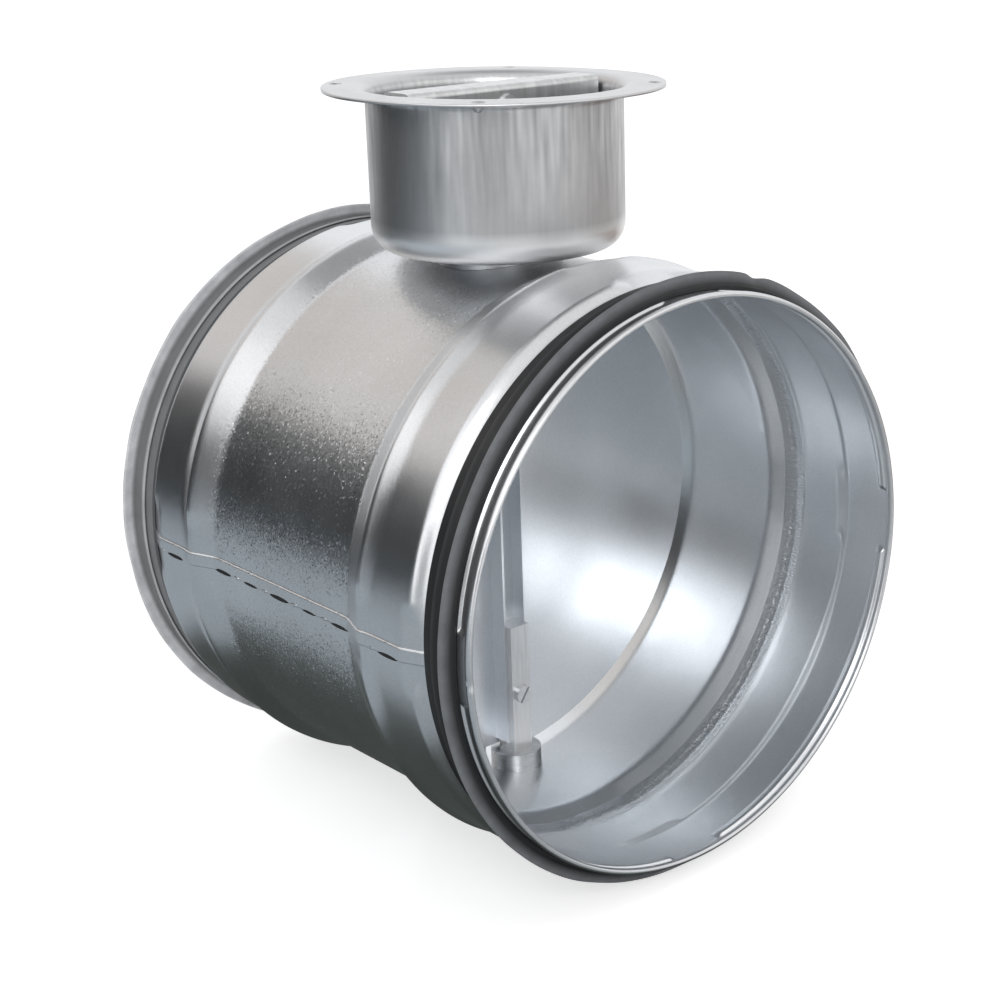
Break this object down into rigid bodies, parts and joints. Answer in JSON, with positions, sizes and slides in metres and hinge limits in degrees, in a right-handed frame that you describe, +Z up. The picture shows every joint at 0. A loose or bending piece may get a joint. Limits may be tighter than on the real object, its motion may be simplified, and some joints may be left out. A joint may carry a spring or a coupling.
{
  "type": "volume control damper",
  "caption": "Round duct damper: a sheet-steel casing with gasketed spigots, a disc blade on a vertical shaft, and a bar handle inside a deep cup that stands through the duct's insulation.",
  "frame": {"origin": "where the shaft's axis crosses the duct's axis, in the middle of the casing", "axes": "+Z up along the shaft, through the cup; Y along the duct, with -Y towards the viewer; the blade is shut, across the duct"},
  "size_m": [0.1692, 0.162, 0.2114],
  "materials": {
    "galvanised_sheet": "zinc-coated sheet, satin, with fine rolling lines",
    "drawn_sheet": "zinc-coated sheet, dulled by drawing, with upright streaks",
    "blade_sheet": "zinc-coated sheet, satin",
    "bright_steel": "drawn bar, bright",
    "plated_steel": "bright zinc plating",
    "rivet_aluminium": "satin",
    "gasket_rubber": "matt, greyed by handling",
    "bush_steel": "turned, satin"
  },
  "bodies": {
    "casing": {"casing_tube": "galvanised_sheet", "front_gasket": "gasket_rubber", "rear_gasket": "gasket_rubber", "insulation_cup": "drawn_sheet", "cup_saddle": "drawn_sheet", "upper_bush": "bush_steel", "upper_bush_ring": "plated_steel", "shaft_seal": "gasket_rubber", "lower_bush": "bush_steel", "quadrant_plate": "galvanised_sheet", "rivet_spacers": "plated_steel", "cup_rivets": "rivet_aluminium"},
    "blade": {"blade_disc": "blade_sheet", "blade_channel": "blade_sheet", "upper_half_shaft": "bright_steel", "lower_half_shaft": "bright_steel", "shaft_screws": "plated_steel", "shaft_nuts": "plated_steel", "locking_arm": "plated_steel", "locking_bolt": "plated_steel", "lock_washer": "plated_steel", "lock_nut": "plated_steel", "handle_post": "bright_steel", "post_pin": "bright_steel", "handle_bar": "drawn_sheet", "bar_rivets": "rivet_aluminium"}
  },
  "joints": [
    {"name": "blade_turn", "type": "hinge", "parent": "casing", "child": "blade", "pos_m": [0, 0, 0], "axis": [0, 0, 1], "range_deg": [0, 90]}
  ]
}
